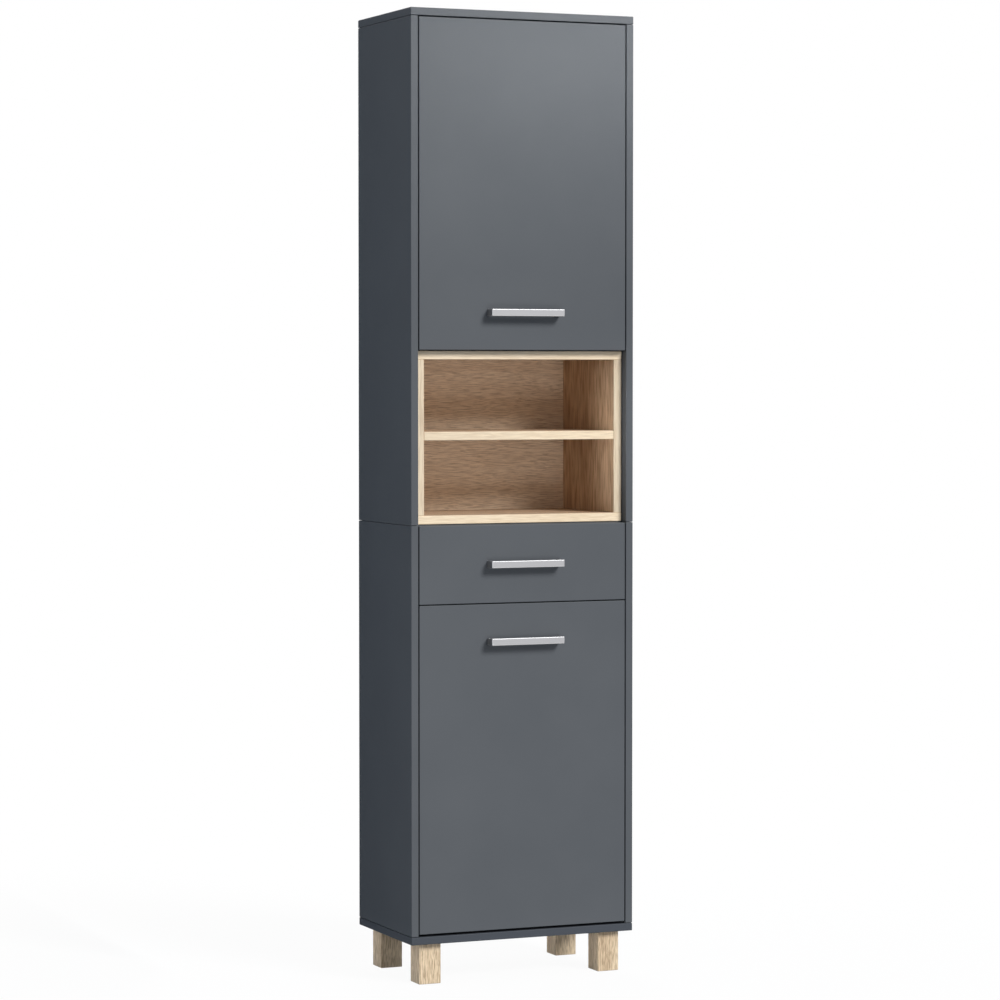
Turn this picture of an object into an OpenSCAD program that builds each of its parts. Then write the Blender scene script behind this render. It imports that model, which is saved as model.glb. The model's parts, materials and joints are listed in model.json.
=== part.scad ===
// Tall bathroom cabinet in two stacked bodies on four legs: an upper door, an open oak
// niche, a drawer and a lower door. Millimetres, +Z up, the fronts face -Y. The origin is
// on the floor, under the middle of the box that holds the cabinet and its handles.

/* [Cabinet] */
// Width across both side panels
cabinet_w = 500; // [440:5:640]
// Depth from the front edges of the side panels to their rear edges
cabinet_d = 300; // [290:5:380]
// Height of the lower body, from under its bottom panel up to the seam
lower_h = 861; // [800:1:960]
// Height of the upper body, from the seam up to the top face
upper_h = 1054; // [1000:1:1200]
// Thickness of the grey panels
panel_t = 16; // [16:1:19]

/* [Back panels] */
// Thickness of the hardboard back panels
back_t = 3; // [3:0.5:5]
// Distance from the rear edges of the side panels to the back panels
back_inset = 12; // [8:1:16]
// Depth of the grooves that hold the back panels
back_groove = 6; // [4:1:8]

/* [Legs] */
// Height of the legs
leg_h = 85; // [60:5:120]
// Width of the square legs
leg_w = 48; // [40:1:60]
// Distance from a side of the cabinet to the legs
leg_inset_x = 24; // [10:1:40]
// Distance from the front and the rear of the cabinet to the legs
leg_inset_y = 18; // [10:1:40]

/* [Doors and drawer front] */
// Thickness of the doors and the drawer front
front_t = 16; // [16:1:19]
// Gap between a front and each side panel
side_gap = 2; // [2:0.5:4]
// Gap between the upper door and the top panel
top_gap = 2.5; // [1.5:0.5:5]
// Gap between the lower door and the bottom panel
bottom_gap = 5; // [2:0.5:8]
// Gap between the drawer front and the lower door
front_gap = 2; // [1.5:0.5:4]
// Gap between the drawer front and the seam, and between the niche and the upper door
seam_gap = 1.5; // [1:0.5:4]
// Height of the drawer front
drawer_front_h = 161; // [150:1:200]
// Distance that the boards inside stand back from the rear of the fronts
inner_setback = 2; // [1:0.5:6]

/* [Niche] */
// Thickness of the oak boards
oak_t = 18; // [16:1:22]
// Clear height between the top and bottom boards of the niche
niche_h = 320; // [300:2:340]
// Clear height under the shelf of the niche
niche_lower_h = 154; // [130:1:170]
// Shadow gap between the oak box and each side panel
niche_gap = 2; // [1:0.5:4]
// Gap between the oak box and the lower body
niche_lift = 1; // [0.5:0.5:3]
// Thickness of the back of the niche
niche_back_t = 8; // [6:1:12]

/* [Shelves] */
// Number of shelves behind each door
shelf_count = 2; // [1:1:3]
// Thickness of the shelves
shelf_t = 16; // [15:1:19]
// Distance from the rear of the doors to the shelves
shelf_setback = 14; // [6:1:40]
// Play at each end of a shelf
shelf_play = 1; // [1:0.25:2]
// Radius of the shelf pins
pin_r = 2.5; // [2:0.5:3]
// Distance between neighbouring holes in a row of shelf pin holes
pin_pitch = 32; // [24:4:40]

/* [Handles] */
// Length of a handle
handle_l = 163; // [120:1:240]
// Height of a handle's bar
handle_h = 14.5; // [10:0.5:20]
// Distance from a front to the face of its handle
handle_reach = 27; // [22:1:40]
// Thickness of a handle's bar and legs
handle_t = 7; // [6:0.5:10]
// Distance from a door's edge to the middle of its handle
handle_from_edge = 77; // [60:1:120]

/* [Hinges] */
// Distance from a door's hinge edge to the hinge pin
pivot_x = 14; // [14:0.5:16]
// Distance from a door's outer face to the hinge pin
pivot_y = 6.5; // [6.5:0.25:7]
// Widest angle of a door
door_open = 95; // [80:1:95]
// Distance from each end of a door to the middle of a hinge
hinge_from_end = 100; // [80:1:130]
// Radius of a hinge cup
cup_r = 17.5; // [17.5:0.5:19]
// Distance from a door's hinge edge to the rim of the cup
cup_edge = 5; // [5:0.5:6]
// Thickness of the door that is left in front of a cup
cup_skin = 3; // [2.5:0.1:3.2]
// Width of a hinge arm
arm_w = 11; // [8:1:14]
// Thickness of a hinge arm
arm_t = 2; // [1.5:0.25:2.25]
// Radius of the hinge pins
hinge_pin_r = 1.5; // [1.25:0.05:1.6]

/* [Drawer] */
// Space between the drawer and the back panel
drawer_back_gap = 19; // [13:1:69]
// Height of the drawer sides
drawer_side_h = 100; // [70:1:104]
// Thickness of the drawer sides and back
drawer_t = 12; // [12:1:14]
// Thickness of the drawer bottom
drawer_base_t = 3; // [3:0.5:5]
// Height of the drawer sides above the board under them
drawer_lift = 14; // [12:1:18]
// Space for a runner between a drawer side and a side panel
runner_space = 13; // [12.5:0.5:16]
// Thickness of the runners' sheet steel
runner_t = 1.2; // [1:0.1:1.5]
// Radius of the runners' rollers
roller_r = 11.5; // [9:0.5:12]
// Width of a roller
roller_w = 6; // [5:0.5:6]

/* [Fittings] */
// Radius of the wooden dowels
dowel_r = 4; // [3:0.5:4]
// Radius of the cam locks
cam_r = 7.5; // [6:0.5:7.5]
// Distance from the end of a board to the middle of its cam lock
cam_reach = 24; // [20:1:32]
// Distance between the wall screws
wall_spacing = 300; // [200:10:340]
// Radius of the holes for the wall screws
wall_hole_r = 3; // [2.5:0.25:4]

/* [Hidden] */
$fn = 48;

// Colours
grey = [0.30, 0.33, 0.36];
oak = [0.85, 0.73, 0.56];
beech = [0.80, 0.62, 0.42];
hardboard = [0.42, 0.44, 0.46];
satin = [0.78, 0.78, 0.80];
zinc = [0.66, 0.67, 0.69];
nylon = [0.93, 0.93, 0.91];

// Play of dowels and locks in their holes
fit = 0.1;
// Play of a screw in its hole, and of a pin or an axle in its bore
bore_fit = 0.05;
// Distance kept between pieces that move past each other
clear = 0.3;
// Play of a board that stands between others
play = 0.5;
// Length by which a cut runs past a face
over = 1;

// Planes across the width and the depth
inner_x = cabinet_w / 2 - panel_t;
front_y = -(cabinet_d - handle_reach) / 2;
front_rear_y = front_y + front_t;
board_y = front_rear_y + inner_setback;
rear_y = front_y + cabinet_d;
back_y = rear_y - back_inset - back_t;
board_end_y = back_y - play;

// Levels of the lower body
floor_z = leg_h + panel_t;
seam_z = leg_h + lower_h;
lower_roof_z = seam_z - panel_t;
drawer_front_z1 = seam_z - seam_gap;
drawer_front_z0 = drawer_front_z1 - drawer_front_h;
lower_door_z1 = drawer_front_z0 - front_gap;
lower_door_z0 = floor_z + bottom_gap;
middle_z0 = drawer_front_z0 - front_gap / 2 - panel_t / 2;
middle_z1 = middle_z0 + panel_t;

// Levels of the upper body
top_z = seam_z + upper_h;
ceiling_z = top_z - panel_t;
niche_z0 = seam_z + niche_lift;
niche_floor_z = niche_z0 + oak_t;
niche_shelf_z = niche_floor_z + niche_lower_h;
niche_roof_z = niche_floor_z + niche_h;
niche_z1 = niche_roof_z + oak_t;
upper_door_z0 = niche_z1 + seam_gap;
upper_door_z1 = ceiling_z - top_gap;

// Widths of the fronts and of the oak box, and the rear edges of its boards
front_x = inner_x - side_gap;
niche_x = inner_x - niche_gap;
oak_end_y = board_end_y - niche_back_t;

// Locks, bolts and dowels at the ends of the boards
cam_floor = 4;
cam_channel_r = 3.4;
cam_slot_l = 9;
cam_slot_w = 1.4;
cam_slot_d = 1.6;
bolt_depth = 11;
bolt_thread_r = 2.5;
bolt_shaft_r = 3;
bolt_hole_r = 3.5;
bolt_neck_r = 2;
bolt_neck_l = 3;
bolt_head_l = 4;
bolt_collar_r = 5;
dowel_in_panel = 11;
dowel_in_board = 22;
joint_inset = 32;
joint_step = 32;
liner_inset = 16;
joint_rear_y = oak_end_y - joint_inset;
cam_ys = [board_y + joint_inset, joint_rear_y];
dowel_ys = [board_y + joint_inset + joint_step, joint_rear_y - joint_step];
liner_ys = [board_y + liner_inset, oak_end_y - liner_inset];

// Shelf pins and their holes
pin_depth = 10;
pin_out = 8;
pin_flange_t = 0.8;
pin_flange = 1.5;
pin_inset = 22;
shelf_y = front_rear_y + shelf_setback;
pin_ys = [shelf_y + pin_inset, board_end_y - pin_inset];

// Handles and their screws
handle_screw_r = 2;
handle_screw_in = 9;
handle_screw_x = (handle_l - handle_t) / 2;
upper_handle_z = upper_door_z0 + handle_from_edge;
lower_handle_z = lower_door_z1 - handle_from_edge;
drawer_handle_z = (drawer_front_z0 + drawer_front_z1) / 2;

// Hinges, seen from the pin: +X to the side panel, +Y into the cabinet
pin_x = front_x - pivot_x;
pin_y = front_y + pivot_y;
door_rear = front_t - pivot_y;
side_x = pivot_x + side_gap;
corner_r = norm([pivot_x, door_rear]);
corner_a = atan2(door_rear, pivot_x);
arm_back = corner_r + arm_t / 2 + 2 * clear;
arm_side = corner_r * cos(180 - door_open - corner_a) + arm_t / 2 + 4 * clear;
middle_y = max(board_y, pin_y + corner_r + 2 * clear);
eye_wall = 1;
eye_r = hinge_pin_r + eye_wall;
arm_leg_l = 52;
plate_t = 4;
plate_l = 40;
plate_h = 44;
plate_screw_z = 16;
plate_setback = 37;
plate_y = door_rear + plate_setback;
arm_leg_x = side_x - plate_t;
cup_wall = 0.8;
cup_floor_t = 0.7;
cup_x = pivot_x - cup_edge - cup_r;
cup_y = cup_skin - pivot_y;
cup_rim_t = 0.8;
cup_rim = 1.5;
cup_wing_x = 6;
cup_wing_w = 13;
cup_wing_l = 60;
cup_screw_z = 24;
ear_t = 2;
ear_w = 6;
ear_gap = 0.5;
pin_half = arm_w / 2 + ear_gap + ear_t;

// Catches on the left side panel and their plates on the doors
catch_w = 14;
catch_d = 20;
catch_h = 40;
catch_screw_z = 13;
strike_t = 1;
strike_inset = 3;
strike_w = 21;
strike_h = 16;
strike_screw = 5;

// Wood screws. The recess of a head is given in shares of the head's radius.
recess_l = 1.2;
recess_w = 0.25;
screw_in = 11;
screw_r = 1.75;
screw_head_r = 3.5;
screw_head_h = 1.6;
panel_screw_r = 2.5;
panel_head_r = 4.5;
panel_head_h = 3;
leg_screw_l = 48;
leg_screw_step = 10;
module_screw_l = 29;
module_screw_x = 140;
back_screw_l = 28;

// Drawer box
drawer_x = inner_x - runner_space;
drawer_inner_x = drawer_x - drawer_t;
drawer_z0 = middle_z1 + drawer_lift;
drawer_z1 = drawer_z0 + drawer_side_h;
drawer_end_y = back_y - drawer_back_gap;
drawer_d = drawer_end_y - front_rear_y;
base_rise = 10;
base_z0 = drawer_z0 + base_rise;
base_z1 = base_z0 + drawer_base_t;
base_groove = 5;
drawer_lock_up = 30;
drawer_lock_down = 25;
drawer_lock_zs = [drawer_z0 + drawer_lock_up, drawer_z1 - drawer_lock_down];
drawer_screw_l = 40;
drawer_screw_up = 40;
drawer_screw_down = 20;
drawer_screw_zs = [drawer_z0 + drawer_screw_up, drawer_z1 - drawer_screw_down];

// Runners: the rollers of both halves have their axes at one height
runner_rise = 12;
roller_z = drawer_z0 + runner_rise;
axle_r = 3;
axle_boss_r = 5;
axle_head_r = 4.5;
axle_head_t = 0.8;
web_x = inner_x - runner_t;
roller_gap = 2.8;
roller_x1 = web_x - roller_gap;
roller_x0 = roller_x1 - roller_w;
runner_y = board_y + inner_setback;
roller_inset = 14;
front_roller_y = runner_y + roller_inset;
rear_roller_y = drawer_end_y - roller_inset;
channel_z0 = roller_z - roller_r - clear - runner_t;
rail_z1 = roller_z + roller_r + clear + runner_t;
channel_play = 0.7;
channel_z1 = rail_z1 + channel_play + runner_t;
rail_setback = 1;
rail_lip = 1;
rail_foot = 10;
runner_screw_up = 8;
runner_screw_inset = 37;
runner_end_y = runner_y + drawer_d;
runner_screw_ys = [runner_y + runner_screw_inset, runner_y + drawer_d / 2, runner_end_y - runner_screw_inset];
rail_screw_in = 8;
rail_screw_front = 50;
rail_screw_rear = 60;
rail_screw_ys = [front_rear_y + rail_screw_front, drawer_end_y - rail_screw_rear];

// Wall brackets
bracket_t = 2;
bracket_w = 20;
bracket_leg = 28;
bracket_hole_down = 18;
bracket_hole_z = ceiling_z - bracket_hole_down;

// A box from its low corner to its high corner
module block(low, high) translate(low) cube(high - low);

// A box on the right, or its mirror image on the left
module side_block(side, low, high) {
    if (side > 0) block(low, high);
    else block([-high[0], low[1], low[2]], [-low[0], high[1], high[2]]);
}

// A rod along X, from x0 to x1
module rod_x(x0, x1, r) translate([x0, 0, 0]) rotate([0, 90, 0]) cylinder(r = r, h = x1 - x0);

// Places for the joints. There +Z points from the panel into the end of the board, and
// +Y to the face of the board that its locks open on.
module at_top_ends(ys) {
    for (side = [-1, 1], y = ys)
        translate([side * (cabinet_w - panel_t) / 2, y, ceiling_z])
            rotate([0, 0, -90 * side]) rotate([180, 0, 0]) children();
}
module at_bottom_ends(ys) {
    for (side = [-1, 1], y = ys)
        translate([side * (cabinet_w - panel_t) / 2, y, floor_z])
            rotate([0, 0, 90 * side]) children();
}
module at_board_ends(z, ys, turn = 0, x = inner_x) {
    for (side = [-1, 1], y = ys)
        translate([side * x, y, z])
            rotate([0, 0, -90 * side]) rotate([90, 0, 0]) rotate([0, 0, turn]) children();
}
module at_drawer_ends() {
    for (side = [-1, 1], z = drawer_lock_zs)
        translate([side * (drawer_x - drawer_t / 2), front_rear_y, z])
            rotate([0, 90 * side, 0]) rotate([-90, 0, 0]) children();
}
module at_liner_ends() {
    for (side = [-1, 1], y = liner_ys) {
        translate([side * (niche_x - oak_t / 2), y, niche_floor_z]) children();
        translate([side * (niche_x - oak_t / 2), y, niche_roof_z]) rotate([180, 0, 0]) children();
    }
}

// The boards between the side panels: level of the bolts, and the way that the locks open
lower_top_mid_z = lower_roof_z + panel_t / 2;
middle_mid_z = middle_z0 + panel_t / 2;
niche_bottom_mid_z = niche_z0 + oak_t / 2;
niche_top_mid_z = niche_z1 - oak_t / 2;
niche_shelf_mid_z = niche_shelf_z + oak_t / 2;
opens_up = 0;
opens_down = 180;

// Locks, bolts and dowels, and the cuts that they need
module cam_lock(half, gap = 0, r = cam_r) {
    lock_h = half + cam_floor;
    difference() {
        translate([0, -cam_floor, gap + cam_reach]) rotate([-90, 0, 0]) cylinder(r = r, h = lock_h);
        translate([0, 0, gap + cam_reach - r - over])
            cylinder(r = cam_channel_r, h = r + over + cam_channel_r);
        for (turn = [0, 90])
            translate([0, half, gap + cam_reach]) rotate([0, turn, 0])
                cube([cam_slot_l, 2 * cam_slot_d, cam_slot_w], center = true);
    }
}
module cam_pocket(half, gap = 0, r = cam_r) {
    translate([0, -cam_floor - fit, gap + cam_reach])
        rotate([-90, 0, 0]) cylinder(r = r + fit, h = half + cam_floor + over);
    translate([0, 0, gap - over]) cylinder(r = bolt_hole_r, h = cam_reach + over);
}
module cam_bolt(gap = 0) {
    neck_z = gap + cam_reach - bolt_head_l / 2 - bolt_neck_l;
    translate([0, 0, -bolt_depth]) cylinder(r = bolt_thread_r, h = bolt_depth);
    cylinder(r = bolt_shaft_r, h = neck_z);
    translate([0, 0, neck_z]) cylinder(r = bolt_neck_r, h = bolt_neck_l);
    translate([0, 0, neck_z + bolt_neck_l]) cylinder(r = bolt_shaft_r, h = bolt_head_l);
    if (gap > 0) cylinder(r = bolt_collar_r, h = gap);
}
module bolt_hole() {
    translate([0, 0, -bolt_depth - fit]) cylinder(r = bolt_thread_r + bore_fit, h = bolt_depth + over);
}
module dowel(gap = 0) {
    translate([0, 0, -dowel_in_panel]) cylinder(r = dowel_r, h = dowel_in_panel + gap + dowel_in_board);
}
module dowel_hole(gap = 0) {
    translate([0, 0, -dowel_in_panel - fit])
        cylinder(r = dowel_r + fit, h = dowel_in_panel + gap + dowel_in_board + 2 * fit);
}

// A screw with its head above the face at zero, and the hole for its shank
module screw(l, r = screw_r, head_r = screw_head_r, head_h = screw_head_h) {
    difference() {
        cylinder(r = head_r, h = head_h);
        for (turn = [0, 90])
            translate([0, 0, head_h]) rotate([0, 0, turn])
                cube([head_r * recess_l, head_r * recess_w, head_h], center = true);
    }
    translate([0, 0, -l]) cylinder(r = r, h = l);
}
module screw_hole(l, r = screw_r) {
    translate([0, 0, -l - fit]) cylinder(r = r + bore_fit, h = l + over);
}
module sunk_screw(l) {
    translate([0, 0, -panel_head_h]) screw(l - panel_head_h, panel_screw_r, panel_head_r, panel_head_h);
}
module sunk_screw_hole(l) {
    translate([0, 0, -panel_head_h]) cylinder(r = panel_head_r + fit, h = panel_head_h + over);
    screw_hole(l, panel_screw_r);
}

// Places for the screws through the bottom panel into the legs
module at_leg_screws() {
    for (side = [-1, 1], end = [0, 1], step = [-1, 1])
        translate([
            side * (cabinet_w / 2 - leg_inset_x - leg_w / 2 + step * leg_screw_step),
            leg_y0(end) + leg_w / 2 + step * leg_screw_step,
            floor_z
        ]) children();
}
function leg_y0(end) = end == 0 ? front_y + leg_inset_y : rear_y - leg_inset_y - leg_w;

// Places for the screws that join the two bodies, from under the lower body's top board
module at_body_screws() {
    for (side = [-1, 1], y = dowel_ys)
        translate([side * module_screw_x, y, lower_roof_z]) rotate([180, 0, 0]) children();
}

// Places for the screws through the back of the niche
module at_niche_back_screws() {
    for (column = [-1, 0, 1], z = [niche_bottom_mid_z, niche_top_mid_z])
        translate([column * module_screw_x, board_end_y, z]) rotate([-90, 0, 0]) children();
}

// Shelves share the height between them evenly
function shelf_space(z0, z1) = (z1 - z0 - shelf_count * shelf_t) / (shelf_count + 1);
function shelf_z(i, z0, z1) = z0 + (i + 1) * shelf_space(z0, z1) + i * shelf_t;
module at_shelf_pins(z0, z1, steps) {
    for (i = [0 : shelf_count - 1], step = steps, side = [-1, 1], y = pin_ys)
        translate([side * inner_x, y, shelf_z(i, z0, z1) - pin_r + step * pin_pitch])
            rotate([0, -90 * side, 0]) children();
}
module shelf_pin() {
    translate([0, 0, -pin_depth]) cylinder(r = pin_r, h = pin_depth + pin_out);
    cylinder(r = pin_r + pin_flange, h = pin_flange_t);
}
module shelf_pin_hole() {
    translate([0, 0, -pin_depth - fit]) cylinder(r = pin_r + fit, h = pin_depth + over);
}
module shelves(z0, z1) {
    for (i = [0 : shelf_count - 1]) {
        z = shelf_z(i, z0, z1);
        block([-inner_x + shelf_play, shelf_y, z], [inner_x - shelf_play, board_end_y, z + shelf_t]);
    }
}

// Places for the hinges of a door from z0 to z1, and for the screws of each hinge
module at_hinges(z0, z1) {
    for (z = [z0 + hinge_from_end, z1 - hinge_from_end]) translate([pin_x, pin_y, z]) children();
}
module at_plate_screws() {
    for (z = [-plate_screw_z, plate_screw_z])
        translate([arm_leg_x, plate_y, z]) rotate([0, -90, 0]) children();
}
module at_arm_screw() translate([arm_leg_x - arm_t, plate_y, 0]) rotate([0, -90, 0]) children();
module at_cup_screws() {
    for (z = [-cup_screw_z, cup_screw_z])
        translate([cup_x - cup_wing_x, door_rear + cup_rim_t, z]) rotate([-90, 0, 0]) children();
}

// Places for the catches, their screws and the screws of their plates
module at_catch(z) translate([-inner_x, front_rear_y + strike_t + clear, z]) children();
module at_catch_screws() {
    for (z = [-catch_screw_z, catch_screw_z])
        translate([catch_w, catch_d / 2, z]) rotate([0, 90, 0]) children();
}
module at_strike_screw(z) {
    translate([-front_x + strike_inset + strike_w - strike_screw, front_rear_y + strike_t, z])
        rotate([-90, 0, 0]) children();
}

// Places for the screws of a handle, from the rear of a front
module at_handle_screws(z) {
    for (side = [-1, 1]) translate([side * handle_screw_x, front_rear_y, z]) rotate([-90, 0, 0]) children();
}
module handle_screw_hole() screw_hole(front_t + handle_screw_in, handle_screw_r);

// Places for the screws of the runners, and for those of the drawer back
module at_runner_screws(side) {
    for (y = runner_screw_ys)
        translate([side * web_x, y, roller_z + runner_screw_up]) rotate([0, -90 * side, 0]) children();
}
module at_rail_screws(side) {
    for (y = rail_screw_ys)
        translate([side * (drawer_x - drawer_t / 2), y, drawer_z0 - runner_t]) rotate([180, 0, 0]) children();
}
module at_back_screws(side) {
    for (z = drawer_screw_zs)
        translate([side * drawer_x, drawer_end_y - drawer_t / 2, z]) rotate([0, 90 * side, 0]) children();
}

// Places for the wall brackets
module at_brackets() {
    for (side = [-1, 1]) translate([side * wall_spacing / 2, back_y, ceiling_z]) children();
}

// Grey panels
module side_panel(side, z0, z1) {
    difference() {
        side_block(side, [inner_x, front_y, z0], [cabinet_w / 2, rear_y, z1]);
        side_block(
            side,
            [inner_x - over, back_y, z0 - over],
            [inner_x + back_groove, back_y + back_t + fit, z1 + over]
        );
        children();
    }
}
module upper_side(side) {
    color(grey) side_panel(side, seam_z, ceiling_z) {
        at_top_ends(cam_ys) cam_pocket(panel_t / 2);
        at_top_ends(dowel_ys) dowel_hole();
        at_board_ends(niche_bottom_mid_z, cam_ys) bolt_hole();
        at_board_ends(niche_top_mid_z, cam_ys) bolt_hole();
        at_board_ends(niche_bottom_mid_z, dowel_ys) dowel_hole(niche_gap);
        at_board_ends(niche_top_mid_z, dowel_ys) dowel_hole(niche_gap);
        at_shelf_pins(niche_z1, ceiling_z, [-1, 0, 1]) shelf_pin_hole();
        side_fitting_holes(side, upper_door_z0, upper_door_z1, upper_handle_z);
    }
}
module lower_side(side) {
    color(grey) side_panel(side, floor_z, seam_z) {
        at_bottom_ends(cam_ys) cam_pocket(panel_t / 2);
        at_bottom_ends(dowel_ys) dowel_hole();
        at_board_ends(lower_top_mid_z, cam_ys) bolt_hole();
        at_board_ends(middle_mid_z, cam_ys) bolt_hole();
        at_board_ends(lower_top_mid_z, dowel_ys) dowel_hole();
        at_board_ends(middle_mid_z, dowel_ys) dowel_hole();
        at_shelf_pins(floor_z, middle_z0, [-1, 0, 1]) shelf_pin_hole();
        side_fitting_holes(side, lower_door_z0, lower_door_z1, lower_handle_z);
        at_runner_screws(side) screw_hole(runner_t + screw_in);
    }
}
// Hinge plates sit on the right side panel, and the catch on the left one
module side_fitting_holes(side, door_z0, door_z1, catch_z) {
    if (side > 0) at_hinges(door_z0, door_z1) {
        at_plate_screws() screw_hole(plate_t + screw_in);
    }
    else at_catch(catch_z) at_catch_screws() screw_hole(catch_w + screw_in);
}
module upper_left_side() upper_side(-1);
module upper_right_side() upper_side(1);
module lower_left_side() lower_side(-1);
module lower_right_side() lower_side(1);

module top_panel() {
    color(grey) difference() {
        block([-cabinet_w / 2, front_y, ceiling_z], [cabinet_w / 2, rear_y, top_z]);
        at_top_ends(cam_ys) bolt_hole();
        at_top_ends(dowel_ys) dowel_hole();
        at_brackets() bracket_screw_place() screw_hole(bracket_t + screw_in);
    }
}
module bottom_panel() {
    color(grey) difference() {
        block([-cabinet_w / 2, front_y, leg_h], [cabinet_w / 2, rear_y, floor_z]);
        at_bottom_ends(cam_ys) bolt_hole();
        at_bottom_ends(dowel_ys) dowel_hole();
        at_leg_screws() sunk_screw_hole(leg_screw_l);
    }
}
module inner_board(z0, y0) {
    block([-inner_x, y0, z0], [inner_x, board_end_y, z0 + panel_t]);
}
module lower_top_board() {
    color(grey) difference() {
        inner_board(lower_roof_z, board_y);
        at_board_ends(lower_top_mid_z, cam_ys, opens_down) cam_pocket(panel_t / 2);
        at_board_ends(lower_top_mid_z, dowel_ys) dowel_hole();
        at_body_screws() sunk_screw_hole(module_screw_l);
    }
}
// The middle board stands behind the arc of the lower door's rear corner
module middle_board() {
    color(grey) difference() {
        inner_board(middle_z0, middle_y);
        at_board_ends(middle_mid_z, cam_ys, opens_down) cam_pocket(panel_t / 2);
        at_board_ends(middle_mid_z, dowel_ys) dowel_hole();
    }
}
module upper_shelves() color(grey) shelves(niche_z1, ceiling_z);
module lower_shelves() color(grey) shelves(floor_z, middle_z0);

// Hardboard backs slide in the grooves of the side panels
module back_panel(z0, z1) {
    block(
        [-inner_x - back_groove + play, back_y, z0 + play],
        [inner_x + back_groove - play, back_y + back_t, z1 - play]
    );
}
module upper_back_panel() {
    color(hardboard) difference() {
        back_panel(seam_z, ceiling_z);
        at_brackets() bracket_wall_hole();
    }
}
module lower_back_panel() color(hardboard) back_panel(floor_z, seam_z);

// Oak box of the niche
module niche_level_board(z0, mid_z, turn) {
    difference() {
        block([-niche_x, board_y, z0], [niche_x, oak_end_y, z0 + oak_t]);
        at_board_ends(mid_z, cam_ys, turn) cam_pocket(oak_t / 2, niche_gap);
        at_board_ends(mid_z, dowel_ys) dowel_hole(niche_gap);
        at_liner_ends() dowel_hole();
        at_niche_back_screws() sunk_screw_hole(back_screw_l);
        at_body_screws() screw_hole(module_screw_l, panel_screw_r);
    }
}
module niche_bottom_board() color(oak) niche_level_board(niche_z0, niche_bottom_mid_z, opens_down);
module niche_top_board() color(oak) niche_level_board(niche_roof_z, niche_top_mid_z, opens_up);
module niche_side_board(side) {
    color(oak) difference() {
        side_block(side, [niche_x - oak_t, board_y, niche_floor_z], [niche_x, oak_end_y, niche_roof_z]);
        at_liner_ends() dowel_hole();
        at_board_ends(niche_shelf_mid_z, dowel_ys, 0, niche_x - oak_t) dowel_hole();
    }
}
module niche_left_board() niche_side_board(-1);
module niche_right_board() niche_side_board(1);
module niche_shelf() {
    color(oak) difference() {
        block(
            [-niche_x + oak_t, board_y, niche_shelf_z],
            [niche_x - oak_t, oak_end_y, niche_shelf_z + oak_t]
        );
        at_board_ends(niche_shelf_mid_z, dowel_ys, 0, niche_x - oak_t) dowel_hole();
    }
}
module niche_back() {
    color(oak) difference() {
        block([-niche_x, oak_end_y, niche_z0], [niche_x, board_end_y, niche_z1]);
        at_niche_back_screws() sunk_screw_hole(back_screw_l);
    }
}

// Legs
module leg(side, end) {
    x0 = cabinet_w / 2 - leg_inset_x - leg_w;
    color(oak) difference() {
        side_block(side, [x0, leg_y0(end), 0], [x0 + leg_w, leg_y0(end) + leg_w, leg_h]);
        at_leg_screws() screw_hole(leg_screw_l, panel_screw_r);
    }
}
module leg_front_left() leg(-1, 0);
module leg_front_right() leg(1, 0);
module leg_back_left() leg(-1, 1);
module leg_back_right() leg(1, 1);

// Fasteners of the boards
module cam_locks() {
    color(zinc) {
        at_top_ends(cam_ys) cam_lock(panel_t / 2);
        at_bottom_ends(cam_ys) cam_lock(panel_t / 2);
        at_board_ends(lower_top_mid_z, cam_ys, opens_down) cam_lock(panel_t / 2);
        at_board_ends(middle_mid_z, cam_ys, opens_down) cam_lock(panel_t / 2);
        at_board_ends(niche_bottom_mid_z, cam_ys, opens_down) cam_lock(oak_t / 2, niche_gap);
        at_board_ends(niche_top_mid_z, cam_ys, opens_up) cam_lock(oak_t / 2, niche_gap);
    }
}
module cam_bolts() {
    color(zinc) {
        at_top_ends(cam_ys) cam_bolt();
        at_bottom_ends(cam_ys) cam_bolt();
        at_board_ends(lower_top_mid_z, cam_ys) cam_bolt();
        at_board_ends(middle_mid_z, cam_ys) cam_bolt();
        at_board_ends(niche_bottom_mid_z, cam_ys) cam_bolt(niche_gap);
        at_board_ends(niche_top_mid_z, cam_ys) cam_bolt(niche_gap);
    }
}
module dowels() {
    color(beech) {
        at_top_ends(dowel_ys) dowel();
        at_bottom_ends(dowel_ys) dowel();
        at_board_ends(lower_top_mid_z, dowel_ys) dowel();
        at_board_ends(middle_mid_z, dowel_ys) dowel();
        at_board_ends(niche_bottom_mid_z, dowel_ys) dowel(niche_gap);
        at_board_ends(niche_top_mid_z, dowel_ys) dowel(niche_gap);
        at_board_ends(niche_shelf_mid_z, dowel_ys, 0, niche_x - oak_t) dowel();
        at_liner_ends() dowel();
    }
}
module shelf_pins() {
    color(zinc) {
        at_shelf_pins(niche_z1, ceiling_z, [0]) shelf_pin();
        at_shelf_pins(floor_z, middle_z0, [0]) shelf_pin();
    }
}
module panel_screws() {
    color(zinc) {
        at_leg_screws() sunk_screw(leg_screw_l);
        at_body_screws() sunk_screw(module_screw_l);
        at_niche_back_screws() sunk_screw(back_screw_l);
    }
}

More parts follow.
